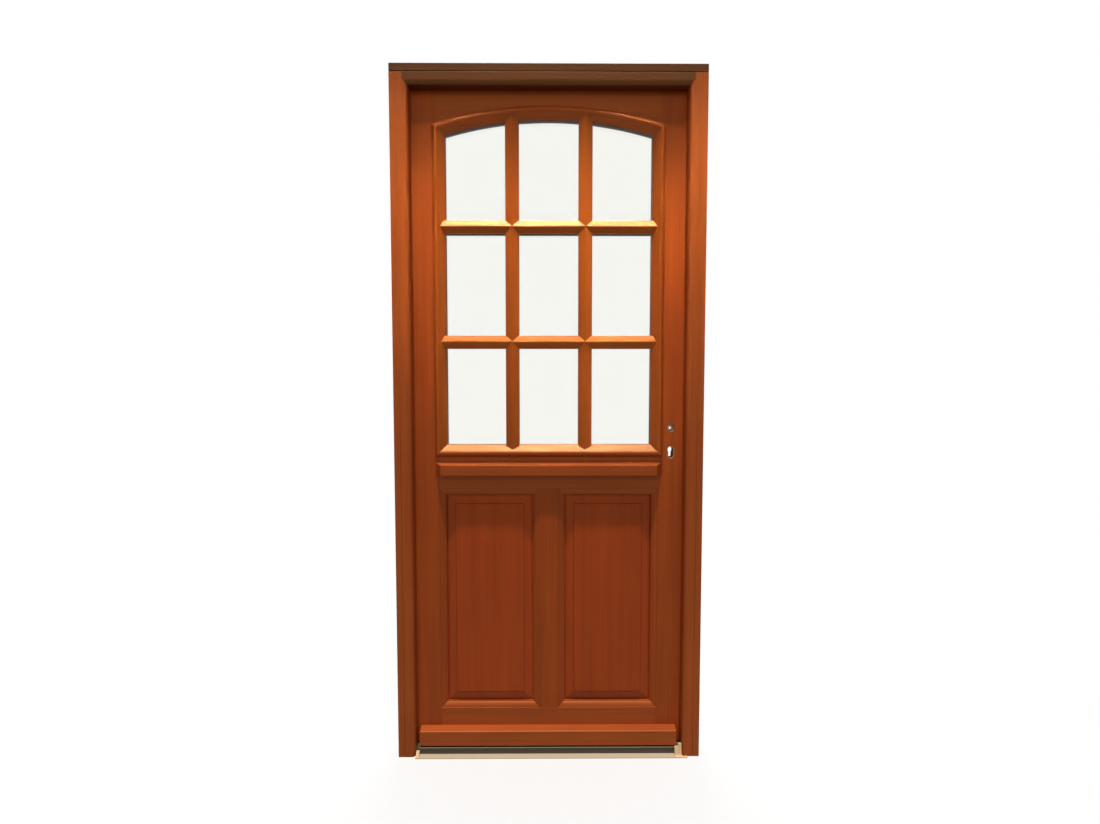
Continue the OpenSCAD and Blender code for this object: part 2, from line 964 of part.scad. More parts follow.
module bottom_rail() {
    color(timber)
        difference() {
            union() {
                box([-stile_x, leaf_out_y, leaf_bottom], [stile_x, leaf_in_y, panel_bottom]);
                both_sides()
                    translate([panel_mid_x, 0, panel_bottom])
                        sticking_run(panel_width);
                bottom_rail_tenons();
            }
            muntin_tenon();
        }
}

module muntin() {
    color(timber) {
        box([-muntin_half, leaf_out_y, panel_bottom], [muntin_half, leaf_in_y, panel_top]);
        both_sides()
            translate([muntin_half, 0, panel_mid_z])
                quarter_turn(1)
                    sticking_run(panel_height);
        muntin_tenon();
    }
}

// Panels

// Section of a raised and fielded panel across its width or its height
function raised_section(opening) =
    let (
        edge = opening / 2 - sticking_width,
        field = edge - panel_bevel,
        tongue_y = leaf_mid_y - groove_width / 2,
        field_y = leaf_out_y + field_recess,
        bevel_y = field_y + field_step,
        front = [
            [-edge - tongue_reach, tongue_y], [-edge, tongue_y], [-field, bevel_y], [-field, field_y],
            [field, field_y], [field, bevel_y], [edge, tongue_y], [edge + tongue_reach, tongue_y]
        ],
        last = len(front) - 1
    )
    concat(front, [for (i = [last:-1:0]) [front[i][0], 2 * leaf_mid_y - front[i][1]]]);

// Shallow quirk that is cut round the field on one face
module field_quirk(y0, y1) {
    width = panel_width / 2 - sticking_width - panel_bevel;
    height = panel_height / 2 - sticking_width - panel_bevel;
    difference() {
        box([-width - quirk_width, y0, -height - quirk_width], [width + quirk_width, y1, height + quirk_width]);
        box([-width, y0 - past, -height], [width, y1 + past, height]);
    }
}

module panel() {
    bevel_depth = field_recess + field_step + quirk_depth;
    color(panel_timber)
        translate([panel_mid_x, 0, panel_mid_z])
            difference() {
                intersection() {
                    along_z(-panel_height, panel_height)
                        polygon(raised_section(panel_width));
                    along_x(2 * panel_width)
                        polygon([for (p = raised_section(panel_height)) [p[1], p[0]]]);
                }
                field_quirk(leaf_out_y, leaf_out_y + bevel_depth);
                field_quirk(leaf_in_y - bevel_depth, leaf_in_y);
            }
}

module left_panel() {
    mirror([1, 0, 0])
        panel();
}

module right_panel() {
    panel();
}

// Glazing

// Raised moulding outside the glass, its ridge and its body, drawn in Y and from the outer edge inwards
function ridge_centre() = [leaf_out_y - moulding_rise + ridge_radius, ridge_inset];
function moulding_lip() = [glass_out_y - moulding_edge, moulding_width];

// The shoulder and the slope both run into the round of the ridge
function moulding_foot() = [leaf_out_y - moulding_step, 0];
function shoulder_end() = touch_point(ridge_centre(), ridge_overlap * ridge_radius, moulding_foot(), -1);
function slope_start() = touch_point(ridge_centre(), ridge_overlap * ridge_radius, moulding_lip(), 1);

module moulding_ridge() {
    intersection() {
        translate(ridge_centre())
            circle(ridge_radius);
        translate([leaf_out_y - moulding_rise - past, 0])
            square([moulding_rise - moulding_step + past, moulding_width]);
    }
}

module moulding_body() {
    polygon([
        ridge_centre(), slope_start(), moulding_lip(), [glass_out_y, moulding_width], [glass_out_y, moulding_lap],
        [leaf_out_y, moulding_lap], [leaf_out_y, 0], moulding_foot(), shoulder_end()
    ]);
}

// The moulding's slope down to the glass, which the bars are scribed to
module scribe_section() {
    start = slope_start();
    back_face = glass_out_y + past;
    polygon([start, moulding_lip(), [back_face, moulding_width], [back_face, start[1]]]);
}

// Splayed bead that holds the glass from inside, drawn in Y and from the timber inwards
module bead_section(behind = 0) {
    polygon([
        [glass_in_y - behind, 0], [leaf_in_y, 0], [leaf_in_y, bead_flat],
        [glass_in_y + bead_edge, bead_width], [glass_in_y - behind, bead_width]
    ]);
}

// Elevation of the side runs between the bottom corner and the mitre at the arch
module side_region(lap, width) {
    outer = stile_x + lap;
    low = sill_z - lap;
    inner = outer - width;
    polygon([
        [outer, low], [outer, arch_at(outer, arch_radius + lap)],
        [inner, arch_at(inner, arch_radius + lap - width)], [inner, low + width]
    ]);
}

// Elevation above the mitres between the side runs and the arch
module arch_region(lap, width) {
    outer = stile_x + lap;
    inner = outer - width;
    outer_z = arch_at(outer, arch_radius + lap);
    inner_z = arch_at(inner, arch_radius + lap - width);
    step = [outer - inner, outer_z - inner_z];
    right = [[inner, inner_z] - step, [outer, outer_z] + step, [outer + step[0], leaf_top]];
    left = [for (i = [2:-1:0]) [-right[i][0], right[i][1]]];
    polygon(concat(right, left));
}

module glazing_side(lap, width) {
    intersection() {
        translate([stile_x + lap, 0, (sill_z + leaf_top) / 2])
            quarter_turn(-1)
                along_x(leaf_top - sill_z + 2 * width)
                    children();
        along_y(-reach, reach)
            side_region(lap, width);
    }
}

module glazing_bottom(lap, width) {
    translate([0, 0, sill_z - lap])
        mitred_run(2 * (stile_x + lap), width)
            children();
}

module glazing_arch(lap, width) {
    radius = arch_radius + lap;
    intersection() {
        arch_run(radius, asin((stile_x + lap) / radius) + 2)
            children();
        along_y(-reach, reach)
            arch_region(lap, width);
    }
}

module outside_side() {
    glazing_side(moulding_lap, moulding_width)
        moulding_ridge();
    glazing_side(moulding_lap, moulding_width)
        moulding_body();
}

module inside_side(behind = 0) {
    glazing_side(0, bead_width)
        bead_section(behind);
}

module outside_left_moulding() {
    color(varnished_bar)
        mirror([1, 0, 0])
            outside_side();
}

module outside_right_moulding() {
    color(varnished_bar)
        outside_side();
}

module outside_bottom_moulding() {
    color(varnished_bar) {
        glazing_bottom(moulding_lap, moulding_width)
            moulding_ridge();
        glazing_bottom(moulding_lap, moulding_width)
            moulding_body();
    }
}

module outside_arch_moulding() {
    color(varnished_bar) {
        glazing_arch(moulding_lap, moulding_width)
            moulding_ridge();
        glazing_arch(moulding_lap, moulding_width)
            moulding_body();
    }
}

module inside_left_bead() {
    color(timber)
        mirror([1, 0, 0])
            inside_side();
}

module inside_right_bead() {
    color(timber)
        inside_side();
}

module inside_bottom_bead() {
    color(timber)
        glazing_bottom(0, bead_width)
            bead_section();
}

module inside_arch_bead() {
    color(timber)
        glazing_arch(0, bead_width)
            bead_section();
}

// Outside glazing bar with a rounded ridge, its back on the glass at height 0
module ridged_bar_section(width, behind) {
    half = width / 2;
    ridge = [0, bar_rise - bar_ridge_radius];
    right = touch_point(ridge, bar_ridge_radius, [half, bar_side], 1);
    translate(ridge)
        circle(bar_ridge_radius);
    polygon([
        [-half, -behind], [half, -behind], [half, bar_side], right, ridge, [-right[0], right[1]], [-half, bar_side]
    ]);
}

// Inside glazing bar with a flat top, its back on the glass at height 0
module splayed_bar_section(width, behind) {
    half = width / 2;
    flat = bar_flat / 2;
    polygon([
        [-half, -behind], [half, -behind], [half, bar_edge], [flat, inside_bar_rise],
        [-flat, inside_bar_rise], [-half, bar_edge]
    ]);
}

// Upright bar on the right, from inside the bottom run to inside the arch
module outside_upright_blank(behind = 0) {
    along_z(day_bottom - bar_seat, upright_bar_top)
        translate([upright_bar_x, glass_out_y])
            mirror([0, 1])
                ridged_bar_section(upright_bar_width, behind);
}

module inside_upright_blank(behind = 0) {
    along_z(day_bottom - bar_seat, upright_bar_top)
        translate([upright_bar_x, glass_in_y])
            splayed_bar_section(upright_bar_width, behind);
}

// Round body inside the slope of the arched moulding
module outside_daylight() {
    start = slope_start();
    lip = moulding_lip();
    outer_radius = arch_radius + moulding_lap;
    translate([0, 0, arch_z])
        rotate([90, 0, 0]) {
            translate([0, 0, -glass_out_y - past])
                cylinder(h = moulding_edge + past, r = outer_radius - lip[1], $fn = arc_steps);
            translate([0, 0, -lip[0]])
                cylinder(h = lip[0] - start[0], r1 = outer_radius - lip[1], r2 = outer_radius - start[1],
                    $fn = arc_steps);
        }
}

// Round body inside the splay of the arched bead
module inside_daylight() {
    inner = arch_radius - bead_width;
    splay_y = glass_in_y + bead_edge;
    translate([0, 0, arch_z])
        rotate([90, 0, 0]) {
            translate([0, 0, -splay_y])
                cylinder(h = bead_edge + past, r = inner, $fn = arc_steps);
            translate([0, 0, -leaf_in_y])
                cylinder(h = leaf_in_y - splay_y, r1 = arch_radius - bead_flat, r2 = inner, $fn = arc_steps);
        }
}

module outside_upright() {
    difference() {
        intersection() {
            outside_upright_blank();
            outside_daylight();
        }
        glazing_bottom(moulding_lap, moulding_width)
            scribe_section();
    }
}

module inside_upright() {
    difference() {
        intersection() {
            inside_upright_blank();
            inside_daylight();
        }
        glazing_bottom(0, bead_width)
            bead_section(past);
    }
}

// Cross bar scribed over the upright bars and into the side mouldings
module outside_cross(z) {
    color(varnished_bar)
        difference() {
            along_x(2 * (day_x + bar_seat))
                translate([glass_out_y, z])
                    rotate(90)
                        ridged_bar_section(cross_bar_width, 0);
            both_sides() {
                outside_upright_blank(past);
                glazing_side(moulding_lap, moulding_width)
                    scribe_section();
            }
        }
}

module inside_cross(z) {
    color(timber)
        difference() {
            along_x(2 * (day_x + bar_seat))
                translate([glass_in_y, z])
                    rotate(-90)
                        splayed_bar_section(cross_bar_width, 0);
            both_sides() {
                inside_upright_blank(past);
                inside_side(past);
            }
        }
}

module outside_left_bar() {
    color(varnished_bar)
        mirror([1, 0, 0])
            outside_upright();
}

module outside_right_bar() {
    color(varnished_bar)
        outside_upright();
}

module outside_lower_bar() {
    outside_cross(lower_bar_z);
}

module outside_upper_bar() {
    outside_cross(upper_bar_z);
}

module inside_left_bar() {
    color(timber)
        mirror([1, 0, 0])
            inside_upright();
}

module inside_right_bar() {
    color(timber)
        inside_upright();
}

module inside_lower_bar() {
    inside_cross(lower_bar_z);
}

module inside_upper_bar() {
    inside_cross(upper_bar_z);
}

// Outline of the glass, taken in by inset from the pane's edge
module glass_outline(inset) {
    half = stile_x - glass_clearance - inset;
    low = sill_z + glass_clearance + inset;
    intersection() {
        translate([-half, low])
            square([2 * half, crown_z - low]);
        translate([0, arch_z])
            circle(arch_radius - glass_clearance - inset, $fn = arc_steps);
    }
}

module outer_glass() {
    color(clear_glass)
        along_y(glass_out_y, glass_out_y + pane_thickness)
            glass_outline(0);
}

module inner_glass() {
    color(clear_glass)
        along_y(glass_in_y - pane_thickness, glass_in_y)
            glass_outline(0);
}

module glass_spacer() {
    color(spacer_metal)
        along_y(glass_out_y + pane_thickness, glass_in_y - pane_thickness)
            difference() {
                glass_outline(spacer_inset);
                glass_outline(spacer_inset + spacer_width);
            }
}

module setting_blocks() {
    far = stile_x - block_inset;
    color(block_plastic)
        both_sides()
            box([far - block_length, glass_out_y, sill_z], [far, glass_in_y, sill_z + glass_clearance]);
}

// Water bars

module drip_groove(y, z) {
    translate([y, z - past])
        square([drip_width, drip_depth + past]);
}

module apron_moulding() {
    half = stile_x + apron_overhang;
    front = leaf_out_y - apron_depth;
    low = apron_top - apron_height;
    color(timber)
        intersection() {
            along_x(2 * half)
                difference() {
                    polygon([
                        [leaf_out_y, apron_top], [leaf_out_y - apron_flat, apron_top],
                        [leaf_out_y - apron_flat, apron_top - apron_step], [front, apron_top - apron_fall],
                        [front, low], [leaf_out_y, low]
                    ]);
                    drip_groove(front + drip_inset, low);
                }
            along_z(low - past, apron_top + past)
                polygon([
                    [-half, leaf_out_y], [half, leaf_out_y], [half - apron_hip, front], [apron_hip - half, front]
                ]);
        }
}

module weatherboard() {
    front = leaf_out_y - board_depth;
    high = board_bottom + board_height;
    nose = [front + board_nose, high - board_fall - board_nose];
    left = board_hinge_margin - stop_x;
    right = stop_x - board_lock_margin;
    color(timber)
        translate([(left + right) / 2, 0, 0])
            along_x(right - left)
                difference() {
                    union() {
                        polygon([
                            [leaf_out_y, high], [nose[0], nose[1] + board_nose], nose, [front, nose[1]],
                            [front, board_bottom], [leaf_out_y, board_bottom]
                        ]);
                        translate(nose)
                            circle(board_nose);
                    }
                    drip_groove(front + drip_inset, board_bottom);
                }
}

// Lock

module faceplate_screw_set() {
    low = cylinder_z - faceplate_below + faceplate_screw_inset;
    high = spindle_height + faceplate_above - faceplate_screw_inset;
    for (z = [low, high])
        translate([leaf_half, leaf_mid_y, z])
            mirror([1, 0, 0])
                wood_screw(faceplate_thickness);
}

// Opening in the faceplate and the case for a bolt that slides along X
module bolt_slot(z, height) {
    room = bolt_half + moving_clearance;
    box([leaf_half - faceplate_thickness - case_wall - past, leaf_mid_y - room, z - height / 2 - moving_clearance],
        [leaf_half + past, leaf_mid_y + room, z + height / 2 + moving_clearance]);
}

// Outline of the profile cylinder's hole
module profile_outline() {
    stem_z = plug_radius + stem_radius - profile_height;
    translate([spindle_x, cylinder_z]) {
        circle(plug_radius);
        translate([0, stem_z])
            circle(stem_radius);
        translate([-stem_radius, stem_z])
            square([2 * stem_radius, -stem_z]);
    }
}

module lock_faceplate() {
    color(bright_steel)
        difference() {
            box([leaf_half - faceplate_thickness, leaf_mid_y - faceplate_width / 2, cylinder_z - faceplate_below],
                [leaf_half, leaf_mid_y + faceplate_width / 2, spindle_height + faceplate_above]);
            bolt_slot(latch_z, latch_height);
            bolt_slot(deadbolt_z, deadbolt_height);
            faceplate_screw_set();
        }
}

module faceplate_screws() {
    color(bright_steel)
        faceplate_screw_set();
}

module lock_case() {
    wall = [case_wall, case_wall, case_wall];
    low = [case_x, case_y[0], case_bottom];
    high = [leaf_half - faceplate_thickness, case_y[1], case_top];
    color(zinc_steel)
        difference() {
            box(low, high);
            box(low + wall, high - wall);
            bolt_slot(latch_z, latch_height);
            bolt_slot(deadbolt_z, deadbolt_height);
            translate([spindle_x, case_y[0] - past, spindle_height])
                rotate([-90, 0, 0])
                    cylinder(h = lock_case_thickness + 2 * past, r = follower_radius + running_clearance);
            along_y(case_y[0] - past, case_y[1] + past)
                profile_outline();
        }
}

// Follower that the spindle turns, with the arm that draws the latch back
module follower() {
    square_half = spindle_square / 2;
    arm_half = follower_arm_thickness / 2;
    color(bright_steel)
        difference() {
            union() {
                translate([spindle_x, case_y[0], spindle_height])
                    rotate([-90, 0, 0])
                        cylinder(h = lock_case_thickness, r = follower_radius);
                box([spindle_x - follower_arm_half, leaf_mid_y - arm_half, spindle_height],
                    [spindle_x + follower_arm_half, leaf_mid_y + arm_half, spindle_height + follower_arm]);
            }
            box([spindle_x - square_half, case_y[0] - past, spindle_height - square_half],
                [spindle_x + square_half, case_y[1] + past, spindle_height + square_half]);
        }
}

// Sprung latch with a bevelled head, a flat tail beside the follower's arm and a hook behind it
module latch_bolt() {
    tip = leaf_half + latch_throw;
    root = leaf_half - latch_head;
    low = latch_z - latch_height / 2;
    high = latch_z + latch_height / 2;
    hook_x = spindle_x - latch_hook_gap;
    back = leaf_mid_y + bolt_half;
    front = leaf_mid_y - bolt_half;
    tail_low = spindle_height + latch_hook_drop;
    color(bright_steel) {
        along_z(low, high)
            polygon([[root, front], [leaf_half, front], [tip, back - case_wall], [tip, back], [root, back]]);
        box([hook_x - latch_hook, front, tail_low], [root + past, front + latch_tail_thickness, high]);
        box([hook_x - latch_hook, front, tail_low], [hook_x, back, high]);
    }
}

module deadbolt() {
    color(bright_steel)
        box([leaf_half - deadbolt_length, leaf_mid_y - bolt_half, deadbolt_z - deadbolt_height / 2],
            [leaf_half, leaf_mid_y + bolt_half, deadbolt_z + deadbolt_height / 2]);
}

hinge_jamb();
lock_jamb();
frame_head();
head_strip();
threshold();
threshold_end_caps();
threshold_seal();
hinge_side_seal();
lock_side_seal();
head_seal();
strike_plate();
strike_screws();
bottom_hinge_frame_half();
middle_hinge_frame_half();
top_hinge_frame_half();
hinge_pins();
hinge_washers();
hinge_frame_screws();
hinge_stile();
lock_stile();
top_rail();
lock_rail();
bottom_rail();
muntin();
left_panel();
right_panel();
outside_left_moulding();
outside_right_moulding();
outside_bottom_moulding();
outside_arch_moulding();
inside_left_bead();
inside_right_bead();
inside_bottom_bead();
inside_arch_bead();
outside_left_bar();
outside_right_bar();
outside_lower_bar();
outside_upper_bar();
inside_left_bar();
inside_right_bar();
inside_lower_bar();
inside_upper_bar();
outer_glass();
inner_glass();
glass_spacer();
setting_blocks();
apron_moulding();
weatherboard();
lock_case();
lock_faceplate();
faceplate_screws();
bottom_hinge_leaf_half();
middle_hinge_leaf_half();
top_hinge_leaf_half();
hinge_leaf_screws();
latch_bolt();
deadbolt();
follower();
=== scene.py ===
"""Looks of a half-glazed panelled front door in its frame."""
import bmesh
import bpy
import math
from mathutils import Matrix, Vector


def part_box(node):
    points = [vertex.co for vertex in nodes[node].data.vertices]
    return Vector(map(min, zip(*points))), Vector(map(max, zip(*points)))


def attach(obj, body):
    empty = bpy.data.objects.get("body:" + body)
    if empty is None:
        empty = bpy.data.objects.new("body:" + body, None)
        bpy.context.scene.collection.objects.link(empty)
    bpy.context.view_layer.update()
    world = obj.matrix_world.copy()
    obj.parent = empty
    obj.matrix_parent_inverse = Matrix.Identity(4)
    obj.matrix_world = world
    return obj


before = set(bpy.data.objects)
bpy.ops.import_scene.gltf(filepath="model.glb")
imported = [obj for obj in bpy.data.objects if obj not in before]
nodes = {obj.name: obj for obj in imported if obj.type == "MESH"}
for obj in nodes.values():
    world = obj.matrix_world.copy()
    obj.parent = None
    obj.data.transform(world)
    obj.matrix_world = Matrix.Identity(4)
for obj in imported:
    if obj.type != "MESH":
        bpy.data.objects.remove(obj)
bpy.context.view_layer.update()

MM = 0.001
# A pattern's scale is a metre in mm divided by the pattern's own size in mm
METRE = 1000
X_AXIS, Y_AXIS, Z_AXIS = 0, 1, 2
WHITE, BLACK = (1, 1, 1, 1), (0, 0, 0, 1)
# Sockets of a Mix node that mixes colours
FACTOR, FIRST, SECOND, RESULT = 0, 6, 7, 2
NOISE_ROUGHNESS = 0.55

# Marks in the timber: length and width in mm, then the noise's detail and roughness.
# Real pores are finer and would not show, so they are drawn coarser.
FIGURE = (900, 34, 3.0, NOISE_ROUGHNESS)
GROWTH_LINES = (420, 5.5, 4.0, 0.6)
PORES = (26, 0.9, 2.0, NOISE_ROUGHNESS)
FIGURE_SHARE, LINES_SHARE = 0.55, 0.45
TONE_PLACES = (0.28, 0.5, 0.72)
PORE_EDGE, PORE_END = 0.30, 0.42
PORE_SHADE, PORE_HEIGHT = 0.2, -0.5
BLOTCH_MM = 312.5
# How far the pattern moves from piece to piece, so that no two have the same grain
PIECE_SHIFT = (5.3, 3.7, 7.9)
ARRIS = 1.2 * MM
# Streaks in metal, drawn coarser than real ones so that they show, and how much they change the roughness
STREAK_MM = (120, 0.35)
STREAK_SWING = 0.06
MOULD_GRAIN_MM = 0.4
GLASS_WAVE_MM = 400
# The threshold's riser stands here, and the apron lies in front of it; the apron's pale colour is painted light
RISER_Y = -30.5 * MM

# Middle of the spindle hole, and the two bored holes as lowest and highest middle and radius
FOLLOWER_RADIUS = 10 * MM
follower_low, follower_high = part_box("follower")
SPINDLE_X = (follower_low[0] + follower_high[0]) / 2
SPINDLE_Z = follower_low[2] + FOLLOWER_RADIUS
BORES = ((SPINDLE_Z, SPINDLE_Z, 11.9 * MM), (SPINDLE_Z - 88 * MM, SPINDLE_Z - 70 * MM, 11.2 * MM))


def linear(hex_colour):
    """sRGB hex to linear RGBA."""
    parts = [int(hex_colour[i:i + 2], 16) / 255 for i in (1, 3, 5)]
    return tuple(c / 12.92 if c <= 0.04045 else ((c + 0.055) / 1.055) ** 2.4 for c in parts) + (1.0,)


def add(tree, kind, inputs=None, stops=(), **settings):
    """Adds a node with its settings, links or fills its inputs and sets a ramp's (place, colour) stops."""
    node = tree.nodes.new(kind)
    for key, value in settings.items():
        setattr(node, key, value)
    for key, value in (inputs or {}).items():
        if isinstance(value, bpy.types.NodeSocket):
            tree.links.new(value, node.inputs[key])
        else:
            node.inputs[key].default_value = value
    if stops:
        band = node.color_ramp.elements
        while len(band) < len(stops):
            band.new(0.5)
        for stop, (place, colour) in zip(band, stops):
            stop.position, stop.color = place, colour
    return node


def material(name, finish):
    """A material whose shader has the given finish, with its tree and its shader."""
    made = bpy.data.materials.new(name)
    made.use_nodes = True
    tree = made.node_tree
    tree.nodes.clear()
    shader = add(tree, "ShaderNodeBsdfPrincipled", finish)
    add(tree, "ShaderNodeOutputMaterial", {"Surface": shader.outputs[0]})
    return made, tree, shader


def mark_scale(axis, along, across):
    """Scale of marks that are `along` mm long on one axis and `across` mm wide on the other two."""
    scale = [METRE / across] * 3
    scale[axis] = METRE / along
    return scale


# Planed hardwood under a satin coloured varnish. Broad figure, growth lines and fine open pores run along
# the piece, each piece has its own tone, and the varnish gives a warm soft sheen.
def varnished_timber(name, axis, tones, raw=None):
    made, tree, shader = material(name, {"Roughness": 0.43, "Specular IOR Level": 0.45,
                                         "Specular Tint": linear("#ffe59c")})
    point = add(tree, "ShaderNodeTexCoord").outputs["Object"]
    chance = add(tree, "ShaderNodeObjectInfo").outputs["Random"]
    shift = add(tree, "ShaderNodeVectorMath", {0: PIECE_SHIFT, "Scale": chance}, operation="SCALE").outputs[0]
    shifted = add(tree, "ShaderNodeVectorMath", {0: point, 1: shift}, operation="ADD").outputs[0]
    marks = []
    for along, across, detail, rough in (FIGURE, GROWTH_LINES, PORES):
        spread = add(tree, "ShaderNodeVectorMath", {0: shifted, 1: mark_scale(axis, along, across)},
                     operation="MULTIPLY").outputs[0]
        marks.append(add(tree, "ShaderNodeTexNoise", {"Vector": spread, "Scale": 1.0, "Detail": detail,
                                                      "Roughness": rough}).outputs[0])
    figure, lines, pores = marks
    blotch = add(tree, "ShaderNodeTexNoise", {"Vector": shifted, "Scale": METRE / BLOTCH_MM, "Detail": 2.0,
                                              "Roughness": NOISE_ROUGHNESS}).outputs[0]

    lined = add(tree, "ShaderNodeMath", {0: lines, 1: LINES_SHARE}, operation="MULTIPLY").outputs[0]
    tone = add(tree, "ShaderNodeMath", {0: figure, 1: FIGURE_SHARE, 2: lined},
               operation="MULTIPLY_ADD").outputs[0]
    colour = add(tree, "ShaderNodeValToRGB", {0: tone},
                 stops=list(zip(TONE_PLACES, map(linear, tones)))).outputs[0]
    pore = add(tree, "ShaderNodeValToRGB", {0: pores}, stops=[(PORE_EDGE, WHITE), (PORE_END, BLACK)]).outputs[0]
    shade = add(tree, "ShaderNodeMath", {0: pore, 1: PORE_SHADE}, operation="MULTIPLY").outputs[0]
    colour = add(tree, "ShaderNodeMix", {FACTOR: shade, FIRST: colour, SECOND: linear(tones[0])},
                 data_type="RGBA").outputs[RESULT]
    for value, start, end, darkest in ((blotch, 0.3, 0.7, "#efe6df"), (chance, 0.0, 1.0, "#ece4de")):
        tint = add(tree, "ShaderNodeValToRGB", {0: value}, stops=[(start, linear(darkest)), (end, WHITE)])
        colour = add(tree, "ShaderNodeMix", {FACTOR: 1.0, FIRST: colour, SECOND: tint.outputs[0]},
                     data_type="RGBA", blend_type="MULTIPLY").outputs[RESULT]
    if raw:
        bare = {FACTOR: raw(tree, point), FIRST: colour, SECOND: linear("#c08a52")}
        colour = add(tree, "ShaderNodeMix", bare, data_type="RGBA").outputs[RESULT]
    tree.links.new(colour, shader.inputs["Base Color"])

    eased = add(tree, "ShaderNodeBevel", {"Radius": ARRIS}, samples=6).outputs[0]
    height = add(tree, "ShaderNodeMath", {0: pore, 1: PORE_HEIGHT, 2: lines},
                 operation="MULTIPLY_ADD").outputs[0]
    bump = add(tree, "ShaderNodeBump", {"Strength": 0.12, "Distance": 0.25 * MM, "Height": height,
                                        "Normal": eased})
    tree.links.new(bump.outputs[0], shader.inputs["Normal"])
    return made


# Raw pale wood inside the holes that were bored through the varnished stile for the spindle and the cylinder.
def bored_holes(tree, point):
    level = add(tree, "ShaderNodeSeparateXYZ", {0: point}).outputs["Z"]
    flat = add(tree, "ShaderNodeVectorMath", {0: point, 1: (1, 0, 1)}, operation="MULTIPLY").outputs[0]
    inside = []
    for low, high, radius in BORES:
        nearest = add(tree, "ShaderNodeClamp", {"Value": level, "Min": low, "Max": high}).outputs[0]
        middle = add(tree, "ShaderNodeCombineXYZ", {"X": SPINDLE_X, "Z": nearest}).outputs[0]
        away = add(tree, "ShaderNodeVectorMath", {0: flat, 1: middle}, operation="DISTANCE").outputs["Value"]
        inside.append(add(tree, "ShaderNodeMath", {0: away, 1: radius}, operation="LESS_THAN").outputs[0])
    return add(tree, "ShaderNodeMath", {0: inside[0], 1: inside[1]}, operation="MAXIMUM").outputs[0]


# Fine streaks that drawing or brushing leaves along one axis: they spread the highlights across it.
def drawn_streaks(tree, shader, axis):
    point = add(tree, "ShaderNodeTexCoord").outputs["Object"]
    spread = add(tree, "ShaderNodeVectorMath", {0: point, 1: mark_scale(axis, *STREAK_MM)},
                 operation="MULTIPLY").outputs[0]
    streaks = add(tree, "ShaderNodeTexNoise", {"Vector": spread, "Scale": 1.0, "Detail": 2.0,
                                               "Roughness": NOISE_ROUGHNESS}).outputs[0]
    bump = add(tree, "ShaderNodeBump", {"Strength": 0.15, "Distance": 0.05 * MM, "Height": streaks})
    tree.links.new(bump.outputs[0], shader.inputs["Normal"])
    return point, streaks


# Bare or plated metal as it was drawn, turned or pressed: bright, with a streaked sheen.
def drawn_metal(name, colour, roughness, axis):
    made, tree, shader = material(name, {"Base Color": linear(colour), "Metallic": 1.0})
    streaks = drawn_streaks(tree, shader, axis)[1]
    rough = add(tree, "ShaderNodeMath", {0: streaks, 1: 2 * STREAK_SWING, 2: roughness - STREAK_SWING},
                operation="MULTIPLY_ADD")
    tree.links.new(rough.outputs[0], shader.inputs["Roughness"])
    return made


# Dull anodised extrusion in two colours by place. The apron in front of the riser is painted pale, which is
# painted light from above. The riser and the rest are painted dark grey, which is painted shade under the
# weatherboard.
def sill_painted_lit_and_shaded(name):
    made, tree, shader = material(name, {"Metallic": 0.1, "Roughness": 0.5, "Specular IOR Level": 0.3})
    point = drawn_streaks(tree, shader, X_AXIS)[0]
    depth = add(tree, "ShaderNodeSeparateXYZ", {0: point}).outputs["Y"]
    apron = add(tree, "ShaderNodeMath", {0: depth, 1: RISER_Y}, operation="LESS_THAN").outputs[0]
    # Painted light and shade: pale where the apron lies in the light, dark grey where the riser lies in shade
    colour = add(tree, "ShaderNodeMix", {FACTOR: apron, FIRST: linear("#4d473f"), SECOND: linear("#b9a78f")},
                 data_type="RGBA")
    tree.links.new(colour.outputs[RESULT], shader.inputs["Base Color"])
    return made


# Plastic or rubber as it comes from the die or the mould: even in colour, with a faint grain that dulls it.
def moulded(name, colour, roughness):
    made, tree, shader = material(name, {"Base Color": linear(colour), "Roughness": roughness})
    point = add(tree, "ShaderNodeTexCoord").outputs["Object"]
    grain = add(tree, "ShaderNodeTexNoise", {"Vector": point, "Scale": METRE / MOULD_GRAIN_MM, "Detail": 2.0,
                                             "Roughness": NOISE_ROUGHNESS}).outputs[0]
    bump = add(tree, "ShaderNodeBump", {"Strength": 0.1, "Distance": 0.05 * MM, "Height": grain})
    tree.links.new(bump.outputs[0], shader.inputs["Normal"])
    return made


# Float glass, clear and polished by the fire, with a soft waviness that bends what it mirrors.
def float_glass(name):
    made, tree, shader = material(name, {"Base Color": linear("#fafaf7"), "Roughness": 0.0, "IOR": 1.5,
                                         "Transmission Weight": 1.0})
    point = add(tree, "ShaderNodeTexCoord").outputs["Object"]
    waves = add(tree, "ShaderNodeTexNoise", {"Vector": point, "Scale": METRE / GLASS_WAVE_MM, "Detail": 1.0,
                                             "Roughness": NOISE_ROUGHNESS}).outputs[0]
    bump = add(tree, "ShaderNodeBump", {"Strength": 0.05, "Distance": 1.0 * MM, "Height": waves})
    tree.links.new(bump.outputs[0], shader.inputs["Normal"])
    return made


# Dark, middle and light tone of the varnished pieces
STILE_TONES = ("#863412", "#9d4015", "#ad4d1a")
RAIL_TONES = ("#8f3d1b", "#a64c21", "#b65929")
JAMB_TONES = ("#8c3c18", "#a54c1f", "#b55726")
BAR_TONES = ("#90400f", "#a94e15", "#b95b1b")
# The head's tones are painted shade: the same timber as the jamb, drawn much darker because the head lies in
# shade
HEAD_SHADED_TONES = ("#4d1f0d", "#5c280f", "#682f13")
PANEL_TONES = ("#913414", "#a73f17", "#b5491c")

